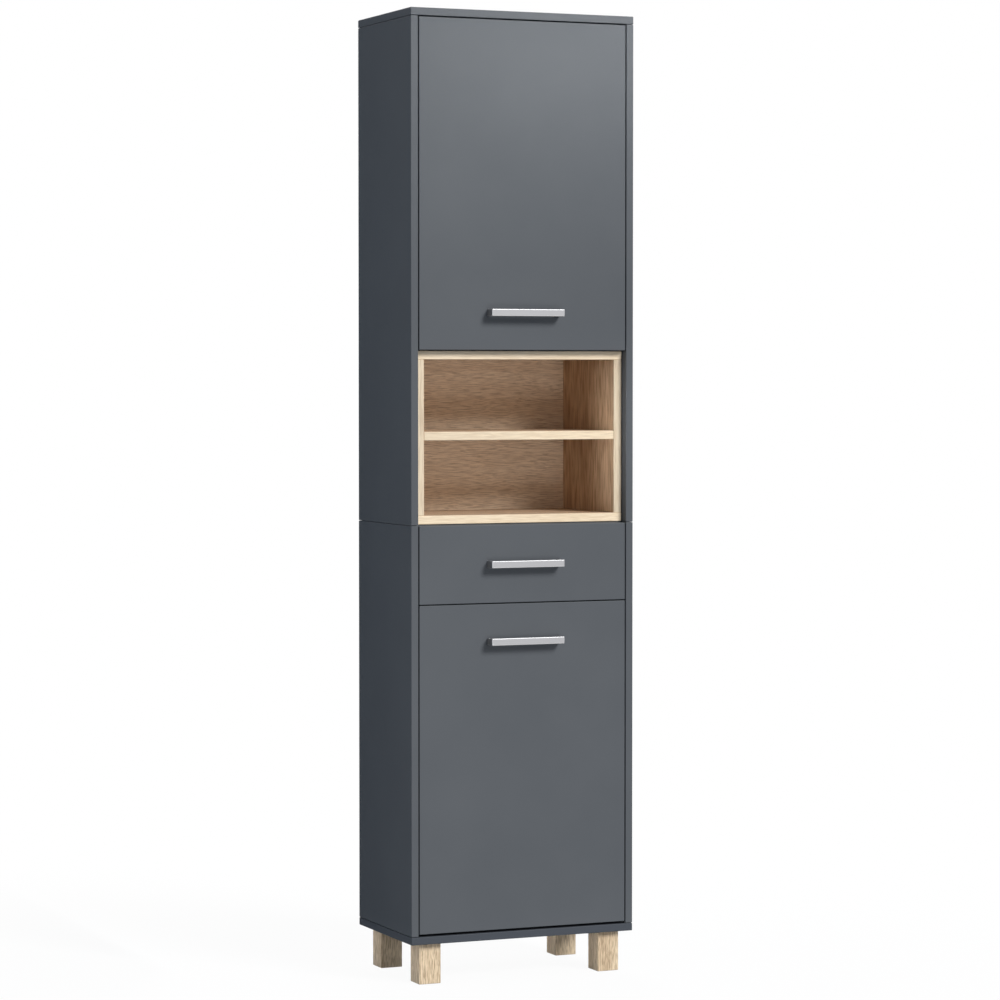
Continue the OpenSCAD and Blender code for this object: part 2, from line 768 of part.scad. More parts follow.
// Steel angles under the top panel, against the back: the wall screws pass through them
module bracket_screw_place() {
    translate([0, -bracket_leg / 2, -bracket_t]) rotate([180, 0, 0]) children();
}
module bracket_wall_hole() {
    translate([0, -bracket_t - over, bracket_hole_z - ceiling_z])
        rotate([-90, 0, 0]) cylinder(r = wall_hole_r, h = bracket_t + back_t + 2 * over);
}
module wall_brackets() {
    color(zinc) at_brackets() difference() {
        union() {
            block([-bracket_w / 2, -bracket_leg, -bracket_t], [bracket_w / 2, 0, 0]);
            block([-bracket_w / 2, -bracket_t, -bracket_leg], [bracket_w / 2, 0, 0]);
        }
        bracket_wall_hole();
        bracket_screw_place() screw_hole(bracket_t + screw_in);
    }
}
module wall_bracket_screws() color(zinc) at_brackets() bracket_screw_place() screw(bracket_t + screw_in);

// Runners. A channel with a roller at its front end is screwed to each side panel, and a
// rail with a roller at its rear end to each drawer side.
module axle(side, y, from_x, to_x) {
    near = min(from_x, to_x);
    far = max(from_x, to_x);
    head_x = to_x > from_x ? roller_x1 + clear : roller_x0 - clear - axle_head_t;
    boss_x0 = to_x > from_x ? from_x : roller_x1 + clear;
    boss_x1 = to_x > from_x ? roller_x0 - clear : from_x;
    mirror([side > 0 ? 0 : 1, 0, 0]) translate([0, y, roller_z]) {
        rod_x(near, far, axle_r);
        rod_x(boss_x0, boss_x1, axle_boss_r);
        rod_x(head_x, head_x + axle_head_t, axle_head_r);
    }
}
module cabinet_runner(side) {
    color(nylon) difference() {
        union() {
            side_block(side, [web_x, runner_y, channel_z0], [inner_x, runner_end_y, channel_z1]);
            for (z = [channel_z0, channel_z1 - runner_t])
                side_block(side, [roller_x0, runner_y, z], [inner_x, runner_end_y, z + runner_t]);
            axle(side, front_roller_y, web_x, roller_x0 - clear);
        }
        at_runner_screws(side) screw_hole(runner_t + screw_in);
    }
}
module cabinet_runner_left() cabinet_runner(-1);
module cabinet_runner_right() cabinet_runner(1);
module drawer_rail(side) {
    rail_x = drawer_x + runner_t;
    rail_y0 = front_rear_y + rail_setback;
    foot_z = drawer_z0 - runner_t;
    difference() {
        union() {
            side_block(side, [drawer_x, rail_y0, foot_z], [rail_x, drawer_end_y, rail_z1]);
            side_block(
                side,
                [drawer_x, rail_y0, rail_z1 - runner_t],
                [roller_x1 + rail_lip, drawer_end_y, rail_z1]
            );
            side_block(side, [drawer_x - rail_foot, rail_y0, foot_z], [rail_x, drawer_end_y, drawer_z0]);
            axle(side, rear_roller_y, rail_x, roller_x1 + clear);
        }
        at_rail_screws(side) screw_hole(runner_t + rail_screw_in);
    }
}
module drawer_runners() {
    color(nylon) {
        drawer_rail(-1);
        drawer_rail(1);
    }
}
module rollers(y) {
    color(nylon) for (side = [-1, 1])
        mirror([side > 0 ? 0 : 1, 0, 0]) translate([0, y, roller_z]) difference() {
            rod_x(roller_x0, roller_x1, roller_r);
            rod_x(roller_x0 - over, roller_x1 + over, axle_r + bore_fit);
        }
}
module front_rollers() rollers(front_roller_y);
module rear_rollers() rollers(rear_roller_y);

// Hinges. The bent arm reaches round the edge of the door into the cup, where a pin
// through two ears holds its eye.
module hinge_plate() {
    difference() {
        block([arm_leg_x, plate_y - plate_l / 2, -plate_h / 2], [side_x, plate_y + plate_l / 2, plate_h / 2]);
        at_plate_screws() screw_hole(plate_t + over);
        at_arm_screw() screw_hole(arm_t + plate_t + over);
    }
}
module hinge_arm() {
    half = arm_w / 2;
    t = arm_t / 2;
    difference() {
        union() {
            translate([0, 0, -half]) cylinder(r = eye_r, h = arm_w);
            block([-arm_side - t, -t, -half], [0, t, half]);
            block([-arm_side - t, -t, -half], [-arm_side + t, arm_back + t, half]);
            block([-arm_side - t, arm_back - t, -half], [arm_leg_x, arm_back + t, half]);
            block([arm_leg_x - arm_t, arm_back - t, -half], [arm_leg_x, arm_back + arm_leg_l, half]);
        }
        translate([0, 0, -half - over]) cylinder(r = hinge_pin_r + bore_fit, h = arm_w + 2 * over);
        at_arm_screw() screw_hole(arm_t + plate_t);
    }
}
module hinge_cup() {
    depth = door_rear - cup_y;
    ear_z = arm_w / 2 + ear_gap;
    difference() {
        union() {
            translate([cup_x, cup_y, 0]) rotate([-90, 0, 0]) cylinder(r = cup_r, h = depth);
            translate([cup_x, door_rear, 0]) rotate([-90, 0, 0]) cylinder(r = cup_r + cup_rim, h = cup_rim_t);
            block(
                [cup_x - cup_wing_x - cup_wing_w / 2, door_rear, -cup_wing_l / 2],
                [cup_x - cup_wing_x + cup_wing_w / 2, door_rear + cup_rim_t, cup_wing_l / 2]
            );
        }
        difference() {
            translate([cup_x, cup_y + cup_floor_t, 0])
                rotate([-90, 0, 0]) cylinder(r = cup_r - cup_wall, h = depth + over);
            for (side = [-1, 1])
                block(
                    [-ear_w / 2, cup_y, side * (ear_z + ear_t / 2) - ear_t / 2],
                    [ear_w / 2, eye_r, side * (ear_z + ear_t / 2) + ear_t / 2]
                );
        }
        translate([0, 0, -pin_half - over]) cylinder(r = hinge_pin_r + bore_fit, h = 2 * (pin_half + over));
        at_cup_screws() screw_hole(cup_rim_t + over);
    }
}
module hinge_pin() translate([0, 0, -pin_half]) cylinder(r = hinge_pin_r, h = 2 * pin_half);
module hinge_plates() {
    color(zinc) {
        at_hinges(upper_door_z0, upper_door_z1) hinge_plate();
        at_hinges(lower_door_z0, lower_door_z1) hinge_plate();
    }
}
module hinge_arms() {
    color(zinc) {
        at_hinges(upper_door_z0, upper_door_z1) hinge_arm();
        at_hinges(lower_door_z0, lower_door_z1) hinge_arm();
    }
}
module upper_hinge_cups() color(zinc) at_hinges(upper_door_z0, upper_door_z1) hinge_cup();
module lower_hinge_cups() color(zinc) at_hinges(lower_door_z0, lower_door_z1) hinge_cup();
module upper_hinge_pins() color(zinc) at_hinges(upper_door_z0, upper_door_z1) hinge_pin();
module lower_hinge_pins() color(zinc) at_hinges(lower_door_z0, lower_door_z1) hinge_pin();

// Catches that hold the free edges of the doors, and that the doors close against
module door_catch() {
    difference() {
        block([0, 0, -catch_h / 2], [catch_w, catch_d, catch_h / 2]);
        at_catch_screws() {
            translate([0, 0, -screw_head_h]) cylinder(r = screw_head_r + fit, h = screw_head_h + over);
            screw_hole(catch_w + over);
        }
    }
}
module door_catches() {
    color(nylon) {
        at_catch(upper_handle_z) door_catch();
        at_catch(lower_handle_z) door_catch();
    }
}
module strike(z) {
    color(zinc) difference() {
        block(
            [-front_x + strike_inset, front_rear_y, z - strike_h / 2],
            [-front_x + strike_inset + strike_w, front_rear_y + strike_t, z + strike_h / 2]
        );
        at_strike_screw(z) screw_hole(strike_t + over);
    }
}
module upper_catch_plate() strike(upper_handle_z);
module lower_catch_plate() strike(lower_handle_z);

// Pan-head screws of the hinges, the catches and the runners on the side panels
module fitting_screws() {
    color(zinc) {
        at_hinges(upper_door_z0, upper_door_z1) hinge_side_screws();
        at_hinges(lower_door_z0, lower_door_z1) hinge_side_screws();
        for (z = [upper_handle_z, lower_handle_z])
            at_catch(z) at_catch_screws()
                translate([0, 0, -screw_head_h]) screw(catch_w + screw_in - screw_head_h);
        for (side = [-1, 1]) at_runner_screws(side) screw(runner_t + screw_in);
    }
}
module hinge_side_screws() {
    at_plate_screws() screw(plate_t + screw_in);
    at_arm_screw() screw(arm_t + plate_t - play);
}

// Doors
module door(z0, z1, handle_z) {
    color(grey) difference() {
        block([-front_x, front_y, z0], [front_x, front_rear_y, z1]);
        at_handle_screws(handle_z) handle_screw_hole();
        at_strike_screw(handle_z) screw_hole(strike_t + screw_in);
        at_hinges(z0, z1) {
            translate([cup_x, cup_y - fit, 0])
                rotate([-90, 0, 0]) cylinder(r = cup_r + fit, h = door_rear - cup_y + over);
            at_cup_screws() screw_hole(cup_rim_t + screw_in);
        }
    }
}
module upper_door() door(upper_door_z0, upper_door_z1, upper_handle_z);
module lower_door() door(lower_door_z0, lower_door_z1, lower_handle_z);
module door_screws(z0, z1, handle_z) {
    color(zinc) {
        at_handle_screws(handle_z) screw(front_t + handle_screw_in, handle_screw_r);
        at_strike_screw(handle_z) screw(strike_t + screw_in);
        at_hinges(z0, z1) at_cup_screws() screw(cup_rim_t + screw_in);
    }
}
module upper_door_screws() door_screws(upper_door_z0, upper_door_z1, upper_handle_z);
module lower_door_screws() door_screws(lower_door_z0, lower_door_z1, lower_handle_z);

// A bow handle of square bar: a bar in front and a leg at each end
module handle(z) {
    half_l = handle_l / 2;
    color(satin) difference() {
        block([-half_l, front_y - handle_reach, z - handle_h / 2], [half_l, front_y, z + handle_h / 2]);
        block(
            [-half_l + handle_t, front_y - handle_reach + handle_t, z - handle_h],
            [half_l - handle_t, front_y + over, z + handle_h]
        );
        at_handle_screws(z) handle_screw_hole();
    }
}
module upper_door_handle() handle(upper_handle_z);
module lower_door_handle() handle(lower_handle_z);
module drawer_handle() handle(drawer_handle_z);

// Drawer
module base_groove_cut() {
    groove_x = drawer_inner_x + base_groove;
    block(
        [-groove_x, front_rear_y - base_groove, base_z0 - fit],
        [groove_x, drawer_end_y + over, base_z1 + fit]
    );
}
module drawer_front() {
    color(grey) difference() {
        block([-front_x, front_y, drawer_front_z0], [front_x, front_rear_y, drawer_front_z1]);
        base_groove_cut();
        at_handle_screws(drawer_handle_z) handle_screw_hole();
        at_drawer_ends() bolt_hole();
    }
}
module drawer_side(side) {
    color(hardboard) difference() {
        side_block(side, [drawer_inner_x, front_rear_y, drawer_z0], [drawer_x, drawer_end_y, drawer_z1]);
        base_groove_cut();
        at_drawer_ends() cam_pocket(drawer_t / 2, 0, drawer_t / 2);
        at_back_screws(side) sunk_screw_hole(drawer_screw_l);
        at_rail_screws(side) screw_hole(runner_t + rail_screw_in);
    }
}
module drawer_left_side() drawer_side(-1);
module drawer_right_side() drawer_side(1);
module drawer_back() {
    color(hardboard) difference() {
        block([-drawer_inner_x, drawer_end_y - drawer_t, base_z1], [drawer_inner_x, drawer_end_y, drawer_z1]);
        for (side = [-1, 1]) at_back_screws(side) screw_hole(drawer_screw_l, panel_screw_r);
    }
}
module drawer_bottom() {
    base_x = drawer_inner_x + base_groove - play;
    color(hardboard) block(
        [-base_x, front_rear_y - base_groove + play, base_z0],
        [base_x, drawer_end_y, base_z1]
    );
}
module drawer_cam_locks() color(zinc) at_drawer_ends() cam_lock(drawer_t / 2, 0, drawer_t / 2);
module drawer_cam_bolts() color(zinc) at_drawer_ends() cam_bolt();
module drawer_screws() {
    color(zinc) {
        at_handle_screws(drawer_handle_z) screw(front_t + handle_screw_in, handle_screw_r);
        for (side = [-1, 1]) {
            at_back_screws(side) sunk_screw(drawer_screw_l);
            at_rail_screws(side) screw(runner_t + rail_screw_in);
        }
    }
}

top_panel();
upper_left_side();
upper_right_side();
upper_back_panel();
upper_shelves();
niche_bottom_board();
niche_top_board();
niche_left_board();
niche_right_board();
niche_shelf();
niche_back();
lower_left_side();
lower_right_side();
lower_back_panel();
lower_top_board();
middle_board();
lower_shelves();
bottom_panel();
leg_front_left();
leg_front_right();
leg_back_left();
leg_back_right();
cam_locks();
cam_bolts();
dowels();
shelf_pins();
panel_screws();
wall_brackets();
wall_bracket_screws();
cabinet_runner_left();
cabinet_runner_right();
front_rollers();
hinge_plates();
hinge_arms();
door_catches();
fitting_screws();
upper_door();
upper_door_handle();
upper_hinge_cups();
upper_hinge_pins();
upper_catch_plate();
upper_door_screws();
lower_door();
lower_door_handle();
lower_hinge_cups();
lower_hinge_pins();
lower_catch_plate();
lower_door_screws();
drawer_front();
drawer_handle();
drawer_left_side();
drawer_right_side();
drawer_back();
drawer_bottom();
drawer_runners();
rear_rollers();
drawer_cam_locks();
drawer_cam_bolts();
drawer_screws();
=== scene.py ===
# %% [markdown]
# # A tall bathroom cabinet
# The cabinet is two metres of slate grey board on four oak legs, with an open oak niche
# between the upper door and the drawer. Its parts come from a CAD model that fixes every
# size, place and motion. This notebook dresses that model: boards get the soft arrises
# that edge banding gives them, the handles and legs are made again as surfaces, and
# every finish is mixed from shader nodes.

# %% Load the frame
import json
import math

import bmesh
import bpy
import numpy as np
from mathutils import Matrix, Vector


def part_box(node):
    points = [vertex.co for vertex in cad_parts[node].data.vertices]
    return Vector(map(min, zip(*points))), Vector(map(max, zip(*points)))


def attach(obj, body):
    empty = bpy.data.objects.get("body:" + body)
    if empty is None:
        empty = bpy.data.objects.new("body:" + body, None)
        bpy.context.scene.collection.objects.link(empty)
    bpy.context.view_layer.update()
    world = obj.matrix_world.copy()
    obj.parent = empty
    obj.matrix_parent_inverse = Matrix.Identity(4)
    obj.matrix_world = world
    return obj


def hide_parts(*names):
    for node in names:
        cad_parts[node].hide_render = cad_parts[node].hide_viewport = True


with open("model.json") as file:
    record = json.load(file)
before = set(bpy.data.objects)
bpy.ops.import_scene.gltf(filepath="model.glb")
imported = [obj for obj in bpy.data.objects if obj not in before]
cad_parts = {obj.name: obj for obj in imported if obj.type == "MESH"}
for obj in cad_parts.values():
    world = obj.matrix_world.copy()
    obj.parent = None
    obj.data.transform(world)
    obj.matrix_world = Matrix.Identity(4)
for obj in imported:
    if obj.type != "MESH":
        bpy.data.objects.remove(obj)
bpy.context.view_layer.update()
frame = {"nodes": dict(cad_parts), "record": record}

record = frame["record"]

# %% [markdown]
# ## Where each part belongs
# A piece that stands for a part has to move with the same body, so a door's new panel
# swings with the door. The record lists the bodies and the finish of each part, and two
# look-up tables turn those lists round.

# %% Bodies and slots by part
body_of = {
    part: body
    for body, parts in record["behaviour"]["bodies"].items()
    for part in parts
}
slot_of = {entry["node"]: entry["material_slot"] for entry in record["subparts"]}
mm = 0.001


def corners(part):
    """Lowest and highest corner of a part, as two arrays in metres."""
    low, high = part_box(part)
    return np.array(low), np.array(high)


low, high = corners("upper_door")
print("upper door:", np.round((high - low) / mm, 1), "mm")

# %% [markdown]
# ## The camera
# The photograph is a product shot with a long lens, taken from the left of the cabinet at
# chest height. The upright edges stay upright in it, so the camera hardly tilts. The
# focal length follows from how fast the two sides shrink away, and is given in pixels of
# a 1000 pixel frame first, because that is how it was found.

# %% Camera
frame_px = 1000
focal_px = 3478
camera_place = (-2.875, -6.721, 1.256)
turn_to_right = math.radians(23.2)
tilt_down = math.radians(2.08)

camera = bpy.data.objects.new("camera", bpy.data.cameras.new("camera"))
camera.data.sensor_width = 36
camera.data.lens = camera.data.sensor_width * focal_px / frame_px
camera.location = camera_place
camera.rotation_euler = (math.pi / 2 - tilt_down, 0, -turn_to_right)
bpy.context.scene.collection.objects.link(camera)
bpy.context.scene.camera = camera
print("lens:", round(camera.data.lens, 1), "mm")

# %% [markdown]
# ## Shader sums that read like sums
# A finish such as oak is a small formula: streaks times a tone, plus pores. Written as
# bare nodes it takes a page, so one class holds an output socket and lets the usual signs
# add the Math nodes.

# %% Wires
class Wire:
    """An output socket of a finish. Signs between wires and numbers add Math nodes."""

    def __init__(self, finish, socket):
        self.finish = finish
        self.socket = socket

    def math(self, operation, *values):
        """A Math node of that operation, fed with the values in turn."""
        values = dict(enumerate(values))
        return self.finish.add("ShaderNodeMath", {"operation": operation}, values)

    def __add__(self, other):
        return self.math("ADD", self, other)

    def __rsub__(self, other):
        return self.math("SUBTRACT", other, self)

    def __mul__(self, other):
        return self.math("MULTIPLY", self, other)

    __radd__ = __add__
    __rmul__ = __mul__

    def band(self, start, end):
        """0 up to start, 1 from end on, and a smooth step between them."""
        settings = {"interpolation_type": "SMOOTHSTEP"}
        values = {"Value": self, "From Min": start, "From Max": end}
        return self.finish.add("ShaderNodeMapRange", settings, values)


signs = [name for name in vars(Wire) if name.endswith(("add__", "mul__", "sub__"))]
print("signs between wires:", signs)

# %% [markdown]
# ## One way to add any other node
# All that isn't a sum, such as a noise or a ramp, goes through a single method. It takes
# the type of the node, its settings and what goes into its sockets. The settings come
# first, because on some nodes they decide which sockets there are. Short methods on top
# of it stand for the nodes that the finishes use again and again.

# %% Finishes
class Finish:
    """A new material or world, and the means to wire its nodes."""

    def __init__(self, name, kind="materials", **constants):
        self.block = getattr(bpy.data, kind).new(name)
        self.block.use_nodes = True
        self.nodes = self.block.node_tree.nodes
        self.links = self.block.node_tree.links
        self.shader = self.nodes.get("Principled BSDF")
        for socket, value in constants.items():
            self.shader.inputs[socket.replace("_", " ")].default_value = value

    def add(self, kind, settings=None, values=None, output=0):
        """Adds a node, makes its settings, then feeds its sockets, by name or number."""
        node = self.nodes.new(kind)
        for name, value in (settings or {}).items():
            setattr(node, name, value)
        for socket, value in (values or {}).items():
            self.feed(node.inputs[socket], value)
        return Wire(self, node.outputs[output])

    def feed(self, socket, value):
        """Links a wire to a socket, or writes a number or colour on it."""
        if isinstance(value, Wire):
            self.links.new(value.socket, socket)
        else:
            socket.default_value = value

    def set(self, **wires):
        """Feeds sockets of the shader: Base_Color=..., Roughness=..., Normal=..."""
        for socket, value in wires.items():
            self.feed(self.shader.inputs[socket.replace("_", " ")], value)
        return self.block

    def place(self, scale=(1, 1, 1), offset=(0, 0, 0), at=None):
        """Coordinates of the object in metres, or others, stretched and shifted."""
        at = at or self.add("ShaderNodeTexCoord", output="Object")
        values = {"Vector": at, "Scale": scale, "Location": offset}
        return self.add("ShaderNodeMapping", None, values)

    def noise(self, vector, scale=1.0, detail=2.0, roughness=0.5, distortion=0.0):
        """Cloudy values of 0 to 1: scale is how many clouds there are to a metre."""
        values = {
            "Vector": vector,
            "Scale": scale,
            "Detail": detail,
            "Roughness": roughness,
            "Distortion": distortion,
        }
        return self.add("ShaderNodeTexNoise", None, values)

    def mix(self, factor, first, second):
        """A colour that goes from first to second as factor goes from 0 to 1."""
        values = {"Factor": factor, 6: first, 7: second}
        return self.add("ShaderNodeMix", {"data_type": "RGBA"}, values, output=2)

    def bump(self, height, distance, strength):
        """A normal from a height of 0 to 1, which stands for 0 to distance in metres."""
        values = {"Height": height, "Distance": distance, "Strength": strength}
        return self.add("ShaderNodeBump", None, values)


def rgb(red, green, blue):
    """An opaque colour from its linear shares of light."""
    return (red, green, blue, 1.0)


print("a finish can:", [name for name in vars(Finish) if not name.startswith("_")])

# %% [markdown]
# ## Slate grey board
# The case and the fronts are particle board with a printed, pressed paper face. Seen from
# a few steps it is an even, slightly blue grey. Near by it has a fine stipple from the
# press plate and a faint cloudiness from the print. Both are noises: a slow one tints the
# colour by a few percent, and a fast one drives the bump and the roughness. The bottom
# panel is painted darker than the rest, as painted shade near the floor, so the recipe
# takes its two tones as parameters.

# %% Slate finish
slate_tones = rgb(0.081, 0.088, 0.097), rgb(0.093, 0.100, 0.109)
# The bottom panel's darker tones are painted shade, where less light reaches near the floor.
base_painted_shade_tones = rgb(0.046, 0.053, 0.064), rgb(0.053, 0.060, 0.072)


def slate_finish(name, dark, light):
    """Printed board: tone = 0.6 clouds + 0.4 specks goes from dark to light."""
    finish = Finish(name, Specular_IOR_Level=0.25)
    clouds = finish.noise(finish.place(), scale=5, detail=3)
    specks = finish.noise(finish.place(), scale=1400, detail=1)
    stipple = finish.noise(finish.place(), scale=700, detail=2)
    tone = clouds * 0.6 + specks * 0.4
    return finish.set(
        Base_Color=finish.mix(tone.band(0.3, 0.7), dark, light),
        Roughness=0.46 + stipple * 0.12,
        Normal=finish.bump(stipple, 0.04 * mm, 0.5),
    )


slate = slate_finish("slate_board", *slate_tones)
slate_painted_shade = slate_finish("slate_base_painted_shade", *base_painted_shade_tones)
print("slate:", len(slate.node_tree.nodes), "nodes")

# %% [markdown]
# ## Oak
# The niche is the same board with an oak face, and the legs are solid oak. Oak has four
# marks: broad bands of tone, a fine grain, dark vessels a millimetre or two wide, and
# short open pores in them. Each is a noise that is squeezed across the grain and drawn
# out along it. The grain runs along the length of a board, so the recipe takes the axis
# as a parameter, and an offset keeps two boards from showing the same streaks. The front
# edge of a board is a strip of paler edging that is glued on, so its colours take over
# where the depth is less than that of the glue line.

# %% Oak finish
across, deep, upright = 0, 1, 2
edging_thickness = 1.5 * mm
glue_seam = 0.1 * mm
glue_line = corners("niche_shelf")[0][deep] + edging_thickness


def oak_finish(name, axis, offset, pale, dark, pore, streaks, vessel, edging=None):
    """Oak with its grain along an axis.

    Bands and fine grain add up to a tone between pale and dark. The marks are the larger
    of the vessel lines and the open pores in them, and pull that tone towards pore.
    Streaks is how dark the lines are, 0 to 1, and vessel is their length and width.
    """
    finish = Finish(name, Specular_IOR_Level=0.3)

    def along(length, width, at=None):
        """Coordinates in grains: a grain is length by width metres."""
        scale = [1 / width] * 3
        scale[axis] = 1 / length
        return finish.place(scale, offset, at)

    sway = finish.noise(along(0.13, 0.05), detail=1) * (9 * mm)
    sideways = {other: sway for other in (across, deep, upright) if other != axis}
    swayed = finish.add("ShaderNodeCombineXYZ", None, sideways)
    wavy = finish.add("ShaderNodeVectorMath", None, {0: finish.place(), 1: swayed})
    bands = finish.noise(along(0.50, 0.030, wavy), detail=2)
    length, width = vessel
    fine = finish.noise(along(length, width * 1.3, wavy), detail=2)
    vessels = finish.noise(along(length, width, wavy), detail=2)
    pores = finish.noise(along(0.012, 0.0008, wavy), detail=1)
    tone = bands * 0.45 + fine * 0.55
    lines = vessels.band(0.45, 0.62) * streaks
    open_pores = pores.band(0.60, 0.75) * vessels.band(0.40, 0.60)
    marks = lines.math("MAXIMUM", lines, open_pores * 0.6)
    wood = finish.mix(marks, finish.mix(tone.band(0.38, 0.62), pale, dark), pore)
    if edging:
        depth = finish.add("ShaderNodeSeparateXYZ", None, {0: finish.place()}, "Y")
        edge = finish.mix(marks * 0.35, finish.mix(tone.band(0.38, 0.62), *edging), pore)
        wood = finish.mix(depth.band(glue_line, glue_line + glue_seam), edge, wood)
    return finish.set(
        Base_Color=wood,
        Roughness=0.50 + tone * 0.15,
        Normal=finish.bump(1 - marks, 0.12 * mm, 0.6),
    )


print("glue line at y =", round(float(glue_line) / mm, 1), "mm")

# %% [markdown]
# ## Oak boards and oak legs
# The sides of the niche are cut from coarser wood than its back, whose grain is the
# finest, and the legs are darkest in their vessels. The sides are painted darker as well,
# as painted shade inside the niche, and the back is painted paler, as painted light deep
# in it. So each wood is a dictionary of its tones, its streaks and the size of a vessel.
# Each board's strip of edging is painted brighter or darker by a share of its own: painted
# light on the top and bottom strips, the top one against the shadow of the door above
# it, and painted shade on the two side strips, most on the right.

# %% Woods and boards
def edging_with_painted_light(share):
    """The two tones of a board's edging, times share: above 1 is painted light, below 1 painted
    shade.
    """
    tones = np.array([[0.90, 0.745, 0.54], [0.78, 0.62, 0.43]]) * share
    return [rgb(*tone) for tone in tones.tolist()]


board_oak = {
    "pale": rgb(0.76, 0.57, 0.40),
    "dark": rgb(0.56, 0.39, 0.25),
    "pore": rgb(0.30, 0.18, 0.10),
    "streaks": 0.48,
    "vessel": (0.045, 0.0013),
}
# The back's paler tones are painted light for the inside of the niche.
back_oak_painted_light = {
    **board_oak,
    "pale": rgb(0.95, 0.775, 0.575),
    "dark": rgb(0.82, 0.635, 0.45),
    "streaks": 0.50,
    "vessel": (0.030, 0.0010),
}
# The sides' darker tones are painted shade inside the niche; their coarse grain is the wood's
# own.
side_oak_painted_shade = {
    **board_oak,
    "pale": rgb(0.70, 0.50, 0.32),
    "dark": rgb(0.53, 0.355, 0.215),
    "streaks": 0.62,
    "vessel": (0.060, 0.0042),
}
leg_oak = {
    "pale": rgb(0.82, 0.66, 0.455),
    "dark": rgb(0.62, 0.465, 0.30),
    "pore": rgb(0.26, 0.16, 0.09),
    "streaks": 0.64,
    "vessel": (0.024, 0.0014),
}
# The shares paint light on the top and bottom edging and shade on the side edging.
bottom_oak = {**board_oak, "edging": edging_with_painted_light(1.08)}
top_oak = {**board_oak, "edging": edging_with_painted_light(1.08)}
shelf_oak = {**board_oak, "edging": edging_with_painted_light(1.0)}
left_oak = {**side_oak_painted_shade, "edging": edging_with_painted_light(0.935)}
right_oak = {**side_oak_painted_shade, "edging": edging_with_painted_light(0.81)}
oaks = {
    "niche_bottom_board": oak_finish("oak_niche_bottom", across, (1.0, 3.0, 2.0), **bottom_oak),
    "niche_top_board": oak_finish("oak_niche_top", across, (4.0, 7.0, 5.0), **top_oak),
    "niche_shelf": oak_finish("oak_niche_shelf", across, (9.0, 2.0, 8.0), **shelf_oak),
    "niche_back": oak_finish("oak_niche_back", across, (6.0, 1.0, 3.0), **back_oak_painted_light),
    "niche_left_board": oak_finish("oak_niche_left", upright, (2.0, 8.0, 7.0), **left_oak),
    "niche_right_board": oak_finish("oak_niche_right", upright, (5.0, 4.0, 1.0), **right_oak),
    "leg_front_left": oak_finish("oak_leg_front_left", upright, (8.0, 6.0, 4.0), **leg_oak),
    "leg_front_right": oak_finish("oak_leg_front_right", upright, (3.0, 5.0, 9.0), **leg_oak),
    "leg_back_left": oak_finish("oak_leg_back_left", upright, (7.0, 9.0, 6.0), **leg_oak),
    "leg_back_right": oak_finish("oak_leg_back_right", upright, (0.0, 0.0, 0.0), **leg_oak),
}
print("oak finishes:", len(oaks))

# %% [markdown]
# ## Metals
# The handles are satin nickel. They were brushed along the bar, so fine lines follow the
# surface round the corners: this finish reads the handle's own map, in metres along and
# round the bar. The edges are polished after the brushing, so they have no lines, and they
# are painted much paler than the faces, which is a painted highlight along every edge and
# both bends. An attribute of the mesh says where they are. The fittings inside are zinc
# plated, which looks a little mottled, and the runners are sheet steel with a white powder
# coat that has the skin of an orange.

# %% Metal finishes
def satin_finish():
    """Brushed faces; the mask is 1 on the polished edges, which are even and painted pale as a
    highlight.
    """
    finish = Finish("satin_nickel", Metallic=1.0)
    at = finish.add("ShaderNodeUVMap", {"uv_map": "bar"})
    lines = finish.add("ShaderNodeMapping", None, {"Vector": at, "Scale": (18, 2600, 1)})
    brushed = finish.noise(lines, detail=3)
    eased = finish.add("ShaderNodeAttribute", {"attribute_name": "eased"}, output="Fac")
    face = finish.mix(brushed, rgb(0.26, 0.26, 0.27), rgb(0.33, 0.33, 0.34))
    return finish.set(
        # The pale colour on the edges and bends is a painted highlight.
        Base_Color=finish.mix(eased, face, rgb(0.50, 0.50, 0.51)),
        Roughness=0.46 + (1 - eased) * brushed * 0.14,
        Normal=finish.bump(brushed * (1 - eased), 0.02 * mm, 0.4),
    )


def zinc_finish():
    """Zinc plate: a mottle of two greys, rough where it is pale."""
    finish = Finish("zinc_plate", Metallic=1.0)
    mottle = finish.noise(finish.place(), scale=260, detail=4, roughness=0.7)
    greys = rgb(0.50, 0.51, 0.53), rgb(0.62, 0.62, 0.61)
    return finish.set(
        Base_Color=finish.mix(mottle.band(0.35, 0.65), *greys),
        Roughness=0.30 + mottle * 0.25,
    )


def powder_coat_finish():
    """White lacquer whose orange skin is the bump of one noise."""
    finish = Finish("white_powder_coat")
    skin = finish.noise(finish.place(), scale=900, detail=2)
    return finish.set(
        Base_Color=finish.mix(skin, rgb(0.74, 0.74, 0.72), rgb(0.80, 0.80, 0.78)),
        Roughness=0.34 + skin * 0.2,
        Normal=finish.bump(skin, 0.06 * mm, 0.6),
    )


satin, zinc, powder_coat = satin_finish(), zinc_finish(), powder_coat_finish()
print("metals:", satin.name, zinc.name, powder_coat.name)

# %% [markdown]
# ## The plain stuffs
# Rollers and catches are white nylon. The thin backs are hardboard: grey on the side that
# looks into the case and bare brown fibre on the side that faces the wall, so the finish
# changes colour half way through the thickness. The drawer's boards wear a lighter grey
# foil, and the dowels are beech.

# %% Nylon, hardboard, drawer foil and beech
def nylon_finish():
    """Moulded nylon, almost even."""
    finish = Finish("white_nylon", Specular_IOR_Level=0.4)
    skin = finish.noise(finish.place(), scale=350, detail=3)
    return finish.set(
        Base_Color=finish.mix(skin, rgb(0.74, 0.74, 0.71), rgb(0.79, 0.79, 0.76)),
        Roughness=0.42 + skin * 0.12,
    )


